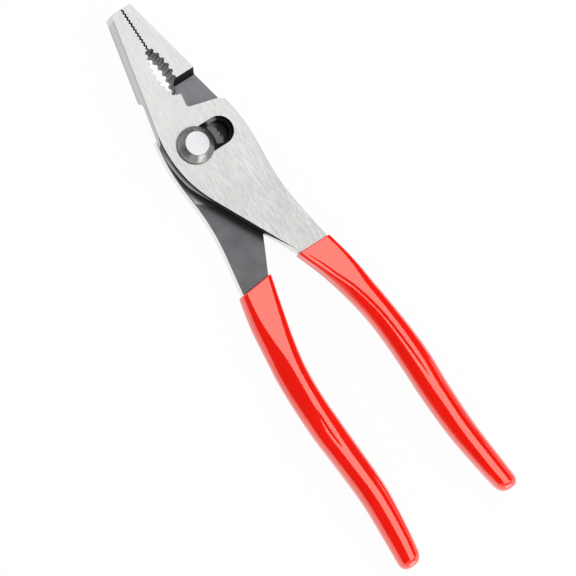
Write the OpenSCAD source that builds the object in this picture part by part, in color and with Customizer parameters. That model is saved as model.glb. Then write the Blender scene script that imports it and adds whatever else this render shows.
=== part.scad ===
// Adjustable long nose pliers: two forged halves lapped on a slip joint, with dipped grips.
// X runs from the pivot to the handles, Y to the front half's handle, Z up through the bolt's head.
// The origin is on the pivot's axis, on the nut's outer face.

/* [Nose] */
// Thickness of the head, both halves together
head_t = 11; // [9:0.5:15]
// Pivot centre to the tips of the jaws
nose_len = 52; // [46:1:80]
// Width of one jaw at its tip
tip_w = 3.95; // [3:0.05:6]
// Slope of a jaw's outer edge to the jaw line, in degrees
nose_taper = 12.5; // [10:0.5:15]
// Inward lean of a jaw's outer side towards its far face, in degrees
side_lean = 2; // [0:0.5:4]
// Pivot centre to the line where the jaws meet
jaw_line = 4.5; // [3.5:0.25:5.5]
// Gap between the closed jaws
jaw_gap = 0.54; // [0.3:0.02:1]

/* [Jaw teeth] */
// Pitch of the fine teeth
tooth_pitch = 1.28; // [1:0.04:2]
// Height of a fine tooth
tooth_h = 0.5; // [0.2:0.02:0.6]
// Pivot centre to the middle of the pipe grip
grip_x = 26.75; // [25:0.25:30]
// Radius of the pipe grip's hollow
hollow_r = 18.4; // [13:0.2:20]
// Depth of the hollow in one jaw
hollow_d = 2.4; // [2.2:0.05:3.2]
// Pitch of the notches in the hollow
notch_pitch = 2.42; // [1.8:0.02:3.2]
// Depth of a notch
notch_d = 0.76; // [0.4:0.02:1]
// Width of the land between two notches
land_w = 1; // [0.4:0.05:1.4]

/* [Joint] */
// Gap between the two lapped plates
lap_gap = 0.1; // [0.06:0.02:0.3]
// Running clearance under the bolt's head and the nut
run_gap = 0.05; // [0.02:0.01:0.1]
// Radial clearance of the bolt in its hole and slot
bolt_fit = 0.05; // [0.02:0.01:0.1]
// Distance between the two places of the pivot in the slot
slip = 10; // [7:0.5:10]
// Diameter of the bolt's journal
bolt_d = 8; // [7:0.1:9]
// Distance across the flats that pass the slot's neck
flats_w = 5.2; // [4.4:0.1:6]
// Diameter of the collar under the bolt's head
collar_d = 9.9; // [9.4:0.1:10.8]
// Depth of the slot's upper step
collar_h = 2.4; // [1.6:0.1:3]
// Diameter of the bolt's head
head_d = 13; // [12:0.1:15]
// Height of the bolt's head
head_h = 3.4; // [2.4:0.1:4.5]
// Height of the straight rim under the head's bevel
rim_h = 0.7; // [0.4:0.1:1]
// Diameter of the flat on top of the head
top_d = 8.4; // [7:0.1:10]
// Diameter of the bolt's threaded end
thread_d = 6; // [5:0.1:6.6]
// Radial clearance of the thread in the nut
thread_fit = 0.02; // [0.01:0.01:0.05]
// Distance across the nut's flats
nut_w = 12; // [10:0.5:14]
// Height of the nut
nut_h = 3.4; // [2.6:0.1:4.5]

/* [Hub and tangs] */
// Radius of the hub's round underside
hub_r = 42; // [36:1:50]
// Slope of a tang's inner edge, in degrees
tang_rake = 27.2; // [25:0.2:29]
// Radius of the raised face round the pivot
pad_r = 21.5; // [20:0.5:23]
// Length of the ramp from the raised face to the tang
pad_ramp = 0.6; // [0.4:0.1:4]
// Height of the raised face over the tang
pad_h = 0.55; // [0.2:0.05:0.9]
// Width of a tang where it enters its grip
tang_w = 10.8; // [10:0.1:12]
// Lip of the wire cutter to the foot of the jaw block's step
step_gap = 3.4; // [2.4:0.1:4]
// Slope of the jaw block's step, in degrees
step_lean = 17; // [10:1:30]

/* [Handles] */
// Pivot centre to the mouth of the front grip
front_mouth = 49.2; // [46:0.2:54]
// Pivot centre to the end of the front grip
front_reach = 154.2; // [140:1:180]
// Pivot centre to the mouth of the rear grip
rear_mouth = 50.2; // [46:0.2:54]
// Pivot centre to the end of the rear grip
rear_reach = 157.6; // [140:1:180]
// Width of a grip in the palm
grip_w = 10.6; // [9.5:0.1:13]
// Thickness of a grip in the palm
grip_t = 9.8; // [9:0.1:12]
// Wall of the dipped grip
grip_wall = 1.05; // [0.8:0.05:1.4]
// Clearance between the dipped grip and the steel
dip_fit = 0.05; // [0.03:0.01:0.1]

/* [Hidden] */
$fn = 96;

// Levels through the head
back_z = nut_h + run_gap;
half_t = head_t / 2;
mid_z = back_z + half_t;
face_z = back_z + head_t;
plate_z = lap_gap / 2;
tang_z = plate_z + pad_h;
tang_t = half_t - tang_z;
tang_mid = tang_z + tang_t / 2;

// Pipe grip, its ends and the jaw block's step
hollow_half = sqrt(hollow_r * hollow_r - (hollow_r - hollow_d) * (hollow_r - hollow_d));
hollow_span = asin(hollow_half / hollow_r);
hollow_in = grip_x - hollow_half;
hollow_out = grip_x + hollow_half;
notches = round(2 * hollow_span * PI / 180 * hollow_r / notch_pitch);
step_foot = hollow_in + step_gap;
step_root_r = 0.6;

// Slot
slot_w = collar_d + 2 * bolt_fit;
hole_d = bolt_d + 2 * bolt_fit;
neck_w = flats_w + 2 * bolt_fit;

// Wire cutter's edge from its lip to the top of the hub: place, height over the jaw line, rounding
cutter_edge = [
    [0.4 - hollow_in, 1.25, 0.3],
    [-12.3, 0.45, 1.2],
    [-11, 5.5, 8],
    [-9.6, 11, 5],
    [-8.2, 13.35, 0.8]
];
// Crown of the hub and waist behind it: place, height over the jaw line, rounding
crown = [2.8, 15.1, 60];
waist = [26.6, 13.1, 80];

// Centre lines of the handles: share of the grip, distance from the jaw line, width
front_line = [
    [0, 11.4, tang_w + 2 * grip_wall],
    [0.1, 14.65, grip_w + 0.6],
    [0.2, 17, grip_w - 0.6],
    [0.3, 18.8, grip_w - 0.9],
    [0.4, 19.8, grip_w - 0.45],
    [0.5, 20.2, grip_w],
    [0.6, 20.05, grip_w - 0.3],
    [0.75, 20.45, grip_w - 1],
    [0.9, 22.1, grip_w - 2],
    [1, 23.6, grip_w - 3]
];
rear_line = [
    [0, 11.75, tang_w + 2 * grip_wall],
    [0.1, 14.6, grip_w + 1.6],
    [0.2, 16.85, grip_w + 0.45],
    [0.3, 18.55, grip_w],
    [0.4, 19.2, grip_w - 0.15],
    [0.5, 19.1, grip_w + 0.1],
    [0.6, 18.5, grip_w - 0.15],
    [0.75, 17.9, grip_w - 0.7],
    [0.9, 19.1, grip_w - 1.8],
    [1, 20.4, grip_w - 2.8]
];
// Sections of both handles: share of the grip, thickness, share of the tang's height, squareness
sections = [
    [0, tang_t + 2 * grip_wall, 1, 6],
    [0.1, grip_t - 2, 0.8, 4.8],
    [0.2, grip_t - 1.2, 0.55, 3.6],
    [0.3, grip_t - 0.5, 0.33, 2.9],
    [0.4, grip_t - 0.1, 0.15, 2.5],
    [0.5, grip_t, 0.05, 2.3],
    [0.6, grip_t, 0, 2.2],
    [0.75, grip_t - 0.3, 0, 2.2],
    [0.9, grip_t - 1, 0, 2.2],
    [1, grip_t - 1.8, 0, 2.2]
];
front_lean = 0;
rear_lean = -6;
round_end = 4.5;
blunt = 0.72;
root_len = 3;
lip_r = 0.5;
sides = 28;
rings = 24;
end_rings = 5;

function unit(v) = v / norm(v);

// Points of corner p between a and b, rounded to radius r
function corner(a, p, b, r) =
    r == 0 ? [p] :
    let (
        u = unit(a - p),
        w = unit(b - p),
        half = acos(u * w) / 2,
        c = p + unit(u + w) * r / sin(half),
        from = p + u * r / tan(half) - c,
        to = p + w * r / tan(half) - c,
        start = atan2(from.y, from.x),
        sweep = atan2(cross(from, to), from * to),
        n = max(4, ceil(abs(sweep) * PI / 180 * r / 2))
    )
    [for (i = [0:n]) c + r * [cos(start + sweep * i / n), sin(start + sweep * i / n)]];

// An outline's corners [x, y, radius] between its first and last point, which aren't drawn
function rounded(p) = [for (i = [1:len(p) - 2]) each corner(
    [p[i - 1].x, p[i - 1].y],
    [p[i].x, p[i].y],
    [p[i + 1].x, p[i + 1].y],
    p[i].z
)];
function closed(p) = rounded(concat([p[len(p) - 1]], p, [p[0]]));

// Points of an arc from p to q that bulges by s to the right of the way
function bulge(p, q, s, n) =
    let (
        c = norm(q - p),
        way = (q - p) / c,
        out = [way.y, -way.x],
        half = 2 * atan(2 * s / c),
        r = c / 2 / sin(half),
        centre = (p + q) / 2 + out * (s - r)
    )
    [for (i = [0:n - 1]) let (t = half * (2 * i / n - 1)) centre + r * (way * sin(t) + out * cos(t))];

// Fine teeth from the tip to the hollow; the two jaws take opposite phases and mesh
function fine_teeth(phase) =
    let (
        length = nose_len - hollow_out,
        n = floor((length - 0.3) / tooth_pitch),
        start = -nose_len + (length - n * tooth_pitch) / 2
    )
    [for (i = [0:2 * n]) [
        start + i * tooth_pitch / 2,
        -jaw_gap / 2 + phase * (i % 2 == 0 ? -1 : 1) * tooth_h / 2
    ]];

// Notches along the hollow of the pipe grip, with a land between each two
function tip_point(k) =
    let (a = hollow_span * (2 * k / notches - 1))
    [-grip_x + hollow_r * sin(a), hollow_r - hollow_d - jaw_gap / 2 - hollow_r * cos(a)];
function pipe_teeth() =
    let (h = land_w / notch_pitch / 2)
    [for (k = [0:notches - 1]) each concat(
        bulge(tip_point(k + h), tip_point(k + 1 - h), notch_d, 8),
        [tip_point(k + 1 - h)]
    )];

// Where two lines meet, each given by a point and a slope
function meet(p, m, q, k) = let (x = (q.y - p.y + m * p.x - k * q.x) / (m - k)) [x, p.y + m * (x - p.x)];

// Outline of one half on its plate side, from the tip along the jaw, over the hub and back
function half_outline(phase, mouth, line, lean) =
    let (
        tip = [-nose_len, -tip_w],
        low = [mouth - tan(lean) * -tang_w / 2, line[0][1] - tang_w / 2],
        high = [mouth - tan(lean) * tang_w / 2, line[0][1] + tang_w / 2],
        under = meet(tip, -tan(nose_taper), low, tan(tang_rake))
    )
    concat(
        [[-nose_len, -jaw_gap / 2]],
        fine_teeth(phase),
        [tip_point(0)],
        pipe_teeth(),
        [tip_point(notches)],
        rounded(concat(
            [[-hollow_in, -jaw_gap / 2, 0]],
            cutter_edge,
            [crown, waist],
            [[high.x, high.y, 0], [low.x, low.y, 0]],
            [[under.x, under.y, hub_r], [tip.x, tip.y, 0.7]],
            [[-nose_len, -jaw_gap / 2, 0]]
        ))
    );

// Value of column c of a table at share s, as a smooth curve through its rows
function row_at(t, s, i = 0) = i >= len(t) - 2 || s < t[i + 1][0] ? i : row_at(t, s, i + 1);
function grade(t, i, c) =
    let (a = max(0, i - 1), b = min(len(t) - 1, i + 1))
    (t[b][c] - t[a][c]) / (t[b][0] - t[a][0]);
function along(t, s, c) =
    let (
        i = row_at(t, s),
        h = t[i + 1][0] - t[i][0],
        u = (s - t[i][0]) / h
    )
    t[i][c] * (1 + 2 * u) * (1 - u) * (1 - u) + h * grade(t, i, c) * u * (1 - u) * (1 - u)
    + t[i + 1][c] * u * u * (3 - 2 * u) + h * grade(t, i + 1, c) * u * u * (u - 1);

// One section of a handle at share s, drawn in by inset and scaled by k, at place x
function section(line, s, x, inset, k, lean) =
    let (
        y = along(line, s, 1),
        z = tang_mid * along(sections, s, 2),
        a = (along(line, s, 2) / 2 - inset) * k,
        b = (along(sections, s, 1) / 2 - inset) * k,
        e = 2 / along(sections, s, 3),
        tilt = -tan(lean) * max(0, 1 - 4 * s)
    )
    [for (i = [0:sides - 1])
        let (
            t = 360 * (i + 0.5) / sides,
            dy = a * sign(cos(t)) * pow(abs(cos(t)), e),
            dz = b * sign(sin(t)) * pow(abs(sin(t)), e)
        )
        [x + tilt * dy, y + dy, z + dz]];

// Sections of a handle from its mouth to its rounded end, drawn in by inset
function handle_rings(line, mouth, reach, inset, lean) =
    let (
        length = reach - mouth,
        bend = length - round_end,
        stop = length - inset
    )
    concat(
        [for (i = [0:rings]) let (x = bend * i / rings) section(line, x / length, mouth + x, inset, 1, lean)],
        [for (i = [1:end_rings])
            let (a = 86 * i / end_rings, x = bend + (stop - bend) * pow(sin(a), blunt))
            section(line, x / length, mouth + x, inset, pow(cos(a), blunt), lean)]
    );

function backwards(v) = [for (i = [len(v) - 1:-1:0]) v[i]];

// Closed skin over a row of sections
module skin(row) {
    m = len(row[0]);
    n = len(row);
    polyhedron(
        points = [for (r = row) each r],
        faces = concat(
            [[for (j = [0:m - 1]) j]],
            [for (i = [0:n - 2]) for (j = [0:m - 1]) each [
                [i * m + j, (i + 1) * m + j, (i + 1) * m + (j + 1) % m],
                [i * m + j, (i + 1) * m + (j + 1) % m, i * m + (j + 1) % m]
            ]],
            [[for (j = [m - 1:-1:0]) (n - 1) * m + j]]
        )
    );
}

// Places a half that is drawn with its plate up, its jaw line on X and the lap's middle at zero
module at_front() translate([0, jaw_line, mid_z]) children();
module at_rear() translate([0, jaw_line, mid_z]) rotate([180, 0, 0]) children();

// Steel core that the grip is dipped on, rooted in the tang
module core(line, mouth, reach, lean) {
    inset = grip_wall + dip_fit;
    row = handle_rings(line, mouth, reach, inset, lean);
    root = section(line, 0, mouth - root_len, inset + 0.6, 1, lean);
    skin(concat(
        [[for (p = root) p - [0, root_len * grade(line, 0, 1) / (reach - mouth), 0]]],
        [for (i = [1:len(row) - 1]) row[i]]
    ));
}

// Grip dipped over the core, with a rounded lip at its mouth
module grip(line, mouth, reach, lean) {
    length = reach - mouth;
    outer = handle_rings(line, mouth, reach, 0, lean);
    lip = [for (a = [0, 45])
        let (x = lip_r * (1 - cos(a)))
        section(line, x / length, mouth + x, lip_r * (1 - sin(a)), 1, lean)];
    edge = section(line, lip_r / length, mouth + lip_r, 0, 1, lean);
    skin(concat(
        backwards(handle_rings(line, mouth, reach, grip_wall, lean)),
        lip,
        [edge],
        [for (i = [1:len(outer) - 1]) outer[i]]
    ));
}

// Forged half without its pivot hole: plate, tang, jaw block and core
module forging(phase, line, mouth, reach, lean) {
    shape = half_outline(phase, mouth, line, lean);
    foot = step_foot;
    face_foot = foot + half_t * tan(step_lean);
    difference() {
        union() {
            translate([0, 0, plate_z]) linear_extrude(half_t - plate_z) polygon(shape);
            intersection() {
                translate([0, 0, -half_t]) linear_extrude(half_t + plate_z + 0.2) polygon(shape);
                rotate([90, 0, 0]) linear_extrude(80, center = true) polygon(closed([
                    [-nose_len - 1, -half_t - 1, 0],
                    [-face_foot - tan(step_lean), -half_t - 1, 0],
                    [-foot, plate_z, step_root_r],
                    [-foot + 1.5, plate_z, 0],
                    [-foot + 1.5, plate_z + 0.2, 0],
                    [-nose_len - 1, plate_z + 0.2, 0]
                ]));
            }
        }
        translate([-nose_len, -tip_w, half_t]) rotate([side_lean, 0, -nose_taper])
            translate([-10, -20, -2 * head_t]) cube([nose_len + 40, 20, 3 * head_t]);
        difference() {
            translate([10, -40, 0]) cube([60, 80, tang_z]);
            translate([0, 0, plate_z]) cylinder(h = pad_h, r1 = pad_r, r2 = pad_r + pad_ramp);
        }
    }
    core(line, mouth, reach, lean);
}

// Slot for the bolt: a wide step at the face, two holes and a neck below it
module slip_slot() {
    for (y = [0, slip]) {
        translate([0, y, mid_z]) cylinder(h = head_t, d = hole_d);
        translate([0, y, face_z - collar_h]) cylinder(h = head_t, d = slot_w);
    }
    translate([-neck_w / 2, 0, mid_z]) cube([neck_w, slip, head_t]);
    translate([-slot_w / 2, 0, face_z - collar_h]) cube([slot_w, slip, head_t]);
}

module front_half() color([0.86, 0.86, 0.85])
    difference() {
        at_front() forging(1, front_line, front_mouth, front_reach, front_lean);
        slip_slot();
    }

module rear_half() color([0.5, 0.5, 0.53])
    difference() {
        at_rear() forging(-1, rear_line, rear_mouth, rear_reach, rear_lean);
        cylinder(h = mid_z + 1, d = hole_d);
    }

// Bolt: bevelled head, collar in the slot's step, flats for the neck, journal and thread
module pivot_bolt() color([0.55, 0.53, 0.5]) {
    rotate_extrude() polygon([
        [0, face_z + run_gap],
        [head_d / 2, face_z + run_gap],
        [head_d / 2, face_z + run_gap + rim_h],
        [top_d / 2, face_z + run_gap + head_h],
        [0, face_z + run_gap + head_h]
    ]);
    translate([0, 0, face_z - collar_h + run_gap]) cylinder(h = collar_h, d = collar_d);
    intersection() {
        translate([0, 0, mid_z]) cylinder(h = half_t - collar_h + run_gap, d = bolt_d);
        translate([-flats_w / 2, -bolt_d, mid_z]) cube([flats_w, 2 * bolt_d, head_t]);
    }
    translate([0, 0, nut_h]) cylinder(h = mid_z - nut_h, d = bolt_d);
    cylinder(h = nut_h, d = thread_d);
}

// Hexagon nut with chamfered corners
module pivot_nut() color([0.55, 0.53, 0.5])
    difference() {
        intersection() {
            cylinder(h = nut_h, d = nut_w / cos(30), $fn = 6);
            translate([0, 0, -nut_w / 2]) cylinder(h = nut_w, r1 = 0, r2 = nut_w);
            translate([0, 0, nut_h - nut_w / 2]) cylinder(h = nut_w, r1 = nut_w, r2 = 0);
        }
        translate([0, 0, -1]) cylinder(h = nut_h + 2, d = thread_d + 2 * thread_fit);
    }

module front_grip() color([0.9, 0.12, 0.06]) at_front() grip(front_line, front_mouth, front_reach, front_lean);

module rear_grip() color([0.9, 0.12, 0.06]) at_rear() grip(rear_line, rear_mouth, rear_reach, rear_lean);

front_half();
rear_half();
pivot_bolt();
pivot_nut();
front_grip();
rear_grip();
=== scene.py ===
"""Adjustable long nose pliers: dressed pieces, materials and stage over the CAD frame."""
import math

import bmesh
import bpy
import numpy as np
from bpy.props import FloatProperty, FloatVectorProperty, PointerProperty
from mathutils import Matrix


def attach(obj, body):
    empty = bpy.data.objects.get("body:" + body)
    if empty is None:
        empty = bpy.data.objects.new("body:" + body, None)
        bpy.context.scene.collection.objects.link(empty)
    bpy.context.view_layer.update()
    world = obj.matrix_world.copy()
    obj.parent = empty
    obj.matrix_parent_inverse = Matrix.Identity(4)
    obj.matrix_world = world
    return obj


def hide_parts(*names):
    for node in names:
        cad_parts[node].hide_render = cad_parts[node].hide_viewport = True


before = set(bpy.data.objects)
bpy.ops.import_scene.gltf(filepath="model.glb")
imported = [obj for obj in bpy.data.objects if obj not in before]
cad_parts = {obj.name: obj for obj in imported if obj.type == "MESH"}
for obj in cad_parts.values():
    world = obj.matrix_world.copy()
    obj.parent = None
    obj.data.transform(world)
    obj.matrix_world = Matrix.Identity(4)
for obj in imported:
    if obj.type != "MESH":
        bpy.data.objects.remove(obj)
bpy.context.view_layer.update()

bl_info = {
    "name": "Adjustable long nose pliers",
    "version": (1, 0, 0),
    "blender": (4, 5, 0),
    "location": "View3D > Sidebar > Pliers",
    "description": "Builds the halves, pivot, grips and stage of slip joint long nose pliers",
    "category": "Add Mesh",
}

MM = 0.001
# A length too small to divide by
TINY = 1e-7
# Points nearer to each other than this are merged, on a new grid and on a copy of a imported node
GRID_MERGE = 2e-7
NODE_MERGE = 2e-6
WHITE = (1.0, 1.0, 1.0, 1.0)
# Finishes of the forged halves, in the order of their materials
GROUND, MILLED, FORGED, BLACK, POLISHED, DRAFTED = range(6)
# Finishes of the bolt, in the order of its materials; the rim's black oxide is painted shade under the
# head
TURNED, BRIGHT, RIM = range(3)
# Forms of the bolt along its profile
ROUND, FLATTED, THREADED = range(3)

# Centre lines of the handles: share of the grip, distance from the jaw line and width over the
# palm's, both in mm
FRONT_LINE = np.array([
    [0.0, 11.4, 2.3],
    [0.1, 14.65, 0.6],
    [0.2, 17.0, -0.6],
    [0.3, 18.8, -0.9],
    [0.4, 19.8, -0.45],
    [0.5, 20.2, 0.0],
    [0.6, 20.05, -0.3],
    [0.75, 20.45, -1.0],
    [0.9, 22.1, -2.0],
    [1.0, 23.5, -3.0],
])
REAR_LINE = np.array([
    [0.0, 11.75, 2.3],
    [0.1, 14.6, 1.6],
    [0.2, 16.85, 0.45],
    [0.3, 18.55, 0.0],
    [0.4, 19.2, -0.15],
    [0.5, 19.1, 0.1],
    [0.6, 18.5, -0.15],
    [0.75, 17.9, -0.7],
    [0.9, 19.1, -1.8],
    [1.0, 20.3, -2.8],
])
# Sections of both handles: share of the grip, thickness over the palm's in mm, share of the tang's
# height, squareness
SECTIONS = np.array([
    [0.0, -2.8, 1.0, 6.0],
    [0.1, -2.0, 0.8, 4.8],
    [0.2, -1.2, 0.55, 3.6],
    [0.3, -0.5, 0.33, 2.9],
    [0.4, -0.1, 0.15, 2.5],
    [0.5, 0.0, 0.05, 2.3],
    [0.6, 0.0, 0.0, 2.2],
    [0.75, -0.3, 0.0, 2.2],
    [0.9, -1.0, 0.0, 2.2],
    [1.0, -1.8, 0.0, 2.2],
])
# Upper side of a dip: share of the grip, squareness, shift of its crown and place of its crease as
# shares of the half width, height of the crease in mm
FRONT_CROWN = np.array([
    [0.0, 9.0, -0.06, -0.7, 0.15],
    [0.06, 8.5, -0.06, -0.61, 0.22],
    [0.12, 5.6, -0.04, -0.52, 0.24],
    [0.18, 3.4, 0.02, -0.34, 0.25],
    [0.25, 2.75, 0.05, -0.23, 0.26],
    [0.32, 2.5, 0.06, -0.17, 0.26],
    [0.4, 2.45, 0.05, -0.14, 0.25],
    [0.5, 2.35, 0.03, -0.08, 0.22],
    [0.6, 2.22, 0.01, 0.0, 0.1],
    [0.68, 2.18, 0.0, 0.05, 0.0],
    [0.8, 2.28, -0.05, 0.1, 0.0],
    [0.9, 2.35, -0.1, 0.1, 0.0],
    [1.0, 2.35, -0.12, 0.1, 0.0],
])
REAR_CROWN = np.array([
    [0.0, 5.6, 0.06, -0.2, 0.0],
    [0.06, 4.7, 0.08, -0.2, 0.0],
    [0.12, 3.7, 0.12, -0.2, 0.0],
    [0.18, 2.85, 0.17, -0.2, 0.0],
    [0.25, 2.15, 0.24, -0.2, 0.0],
    [0.32, 1.98, 0.24, -0.18, 0.0],
    [0.4, 2.02, 0.19, -0.12, 0.0],
    [0.45, 2.15, 0.1, -0.12, 0.12],
    [0.5, 2.4, 0.0, -0.1, 0.24],
    [0.57, 2.3, -0.06, -0.03, 0.14],
    [0.64, 2.25, -0.06, 0.08, 0.0],
    [0.75, 2.2, 0.0, 0.15, 0.0],
    [0.9, 2.25, 0.07, 0.15, 0.0],
    [1.0, 2.25, 0.02, 0.15, 0.0],
])


def length(name, description, default):
    """A length property in metres, given in millimetres."""
    return FloatProperty(
        name=name, description=description, default=default * MM, unit="LENGTH", precision=5
    )


def number(name, description, default, **kind):
    """A number property, with a unit or a subtype where kind names one."""
    return FloatProperty(name=name, description=description, default=default, **kind)


def tint(name, description, default):
    """A colour property in linear light."""
    return FloatVectorProperty(
        name=name, description=description, default=default, subtype="COLOR",
        size=3, min=0.0, max=1.0,
    )


class SteelSettings(bpy.types.PropertyGroup):
    """Levels, edges and colours of the two forged halves."""

    face_z: length("Front face", "Height of the ground front faces", 14.45)
    mid_z: length("Lap", "Height of the middle of the lap", 8.95)
    back_z: length("Back face", "Height of the ground back faces", 3.45)
    tang_h: length("Tang face", "Distance of the tangs' dull faces from the middle of the lap", 0.6)
    tip_x: length("Tip", "Place of the jaws' tips along the tool", -52.0)
    jaw_y: length("Jaw line", "Distance from the pivot to the line where the jaws meet", 4.5)
    hub_x: length("Ground sides end", "Place along the tool where the jaws' ground sides end", -9.0)
    grip_x: length("Pipe grip", "Distance from the pivot to the middle of the pipe grip", 26.75)
    hollow_r: length("Hollow", "Radius of the pipe grip's hollow", 18.4)
    hollow_w: length("Hollow reach", "Half length of the pipe grip along the jaw line", 9.5)
    hollow_y: length("Hollow centre", "Height of the hollow's centre over the jaw line", 15.73)
    tooth_x: length("First tooth", "Distance from the pivot to the first fine tooth", 51.6)
    tooth_w: length("Tooth pitch", "Pitch of the fine teeth", 1.28)
    tooth_h: length("Tooth height", "Height of a fine tooth", 0.5)
    slip: length("Slip", "Distance between the pivot's two places in the slot", 10.0)
    slot_w: length("Slot", "Width of the slot's upper step", 10.0)
    edge: length("Edge", "Width of the broken edges", 0.16)
    brush: length("Brush", "Spacing of the brush lines on ground steel", 0.28)
    ground: tint("Ground steel", "Colour of the ground faces", (0.73, 0.73, 0.716))
    polish: tint("Polished steel", "Colour of the polished sides", (0.82, 0.82, 0.82))
    draft: tint("Drafted sides", "Colour of the drafted inner sides", (0.75, 0.75, 0.757))
    lap: tint("Milled steel", "Colour of the milled faces and teeth", (0.275, 0.272, 0.29))
    tang: tint("Forged steel", "Colour of the dull tang faces", (0.185, 0.187, 0.198))
    oxide: tint("Black oxide", "Colour of the blackened slot and step", (0.01, 0.01, 0.0105))


class PivotSettings(bpy.types.PropertyGroup):
    """Sizes and colours of the bolt and the nut."""

    seat_z: length("Seat", "Height of the underside of the bolt's head", 14.5)
    head_d: length("Head", "Diameter of the bolt's head", 13.0)
    head_h: length("Head height", "Height of the bolt's head", 3.4)
    rim_h: length("Rim", "Height of the straight rim under the head's bevel", 0.7)
    top_d: length("Top", "Diameter of the flat on top of the head", 8.4)
    collar_d: length("Collar", "Diameter of the collar in the slot", 9.9)
    collar_h: length("Collar height", "Height of the collar", 2.4)
    bolt_d: length("Journal", "Diameter of the bolt's journal", 8.0)
    flats_w: length("Flats", "Distance across the flats in the slot's neck", 5.2)
    lap_z: length("Flats end", "Height where the flats give way to the journal", 8.95)
    thread_d: length("Thread", "Diameter of the threaded end", 6.0)
    pitch: length("Pitch", "Pitch of the thread", 1.0)
    nut_w: length("Nut", "Distance across the nut's flats", 12.0)
    nut_h: length("Nut height", "Height of the nut", 3.4)
    bore_d: length("Bore", "Diameter of the nut's bore", 6.04)
    sink: length("Countersink", "Width and depth of the countersinks in the nut's bore", 0.35)
    round_r: length("Rounding", "Rounding of the turned edges", 0.22)
    steel: tint("Bolt steel", "Colour of the turned bevel and the nut", (0.34, 0.338, 0.328))
    top: tint("Bolt top", "Colour of the ground top of the head", (0.66, 0.665, 0.68))


class GripSettings(bpy.types.PropertyGroup):
    """Sizes and colour of the dipped grips."""

    front_mouth: length("Front mouth", "Place of the front grip's mouth", 49.2)
    front_reach: length("Front end", "Place of the front grip's end", 154.2)
    rear_mouth: length("Rear mouth", "Place of the rear grip's mouth", 50.2)
    rear_reach: length("Rear end", "Place of the rear grip's end", 157.58)
    palm_w: length("Width", "Width of a grip in the palm", 10.6)
    palm_t: length("Thickness", "Thickness of a grip in the palm", 9.8)
    wall: length("Wall", "Wall of the dip", 1.05)
    lip: length("Lip", "Rounding of the mouth's lip", 0.5)
    end: length("End", "Length of the rounded end", 4.5)
    tang: length("Tang", "Height of the tang's middle over the lap", 3.05)
    rear_lean: number(
        "Rear lean", "Lean of the rear grip's mouth", math.radians(-6.0), subtype="ANGLE"
    )
    blunt: number("Blunt", "Bluntness of the rounded end, 1 is round", 0.72)
    crease: length("Crease", "Width of the crease beside the tang's flat", 1.25)
    red: tint("Red", "Colour of the dipped plastic", (0.92, 0.006, 0.001))


class StageSettings(bpy.types.PropertyGroup):
    """Floor, lamps and camera."""

    floor: tint("Floor", "Colour of the floor", (0.86, 0.86, 0.86))
    lens: number("Lens", "Focal length in millimetres", 279.27)
    key: number("Key", "Power of the softbox", 4.5, unit="POWER")
    side: number("Side", "Power of the side lamp", 0.42, unit="POWER")
    card: number("Card", "Power of the card at the handles' end", 1.5, unit="POWER")
    fill: number("Fill", "Strength of the surrounding light", 0.75)
    ceiling: number("Ceiling", "Brightness of the ceiling in mirrors", 0.025)
    ends: number("Ends", "Brightness of the end walls in mirrors", 0.5)
    walls: number("Walls", "Brightness of the walls in mirrors", 0.06)


class Wire:
    """A shader socket that can be used in arithmetic with numbers and other wires."""

    def __init__(self, sheet, socket):
        self.sheet = sheet
        self.socket = socket

    def __add__(self, other):
        return self.sheet.maths("ADD", self, other)

    def __radd__(self, other):
        return self.sheet.maths("ADD", other, self)

    def __sub__(self, other):
        return self.sheet.maths("SUBTRACT", self, other)

    def __rsub__(self, other):
        return self.sheet.maths("SUBTRACT", other, self)

    def __mul__(self, other):
        return self.sheet.maths("MULTIPLY", self, other)

    def __rmul__(self, other):
        return self.sheet.maths("MULTIPLY", other, self)

    def __truediv__(self, other):
        return self.sheet.maths("DIVIDE", self, other)

    def __rtruediv__(self, other):
        return self.sheet.maths("DIVIDE", other, self)

    def __pow__(self, other):
        return self.sheet.maths("POWER", self, other)

    def __rpow__(self, other):
        return self.sheet.maths("POWER", other, self)


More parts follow.
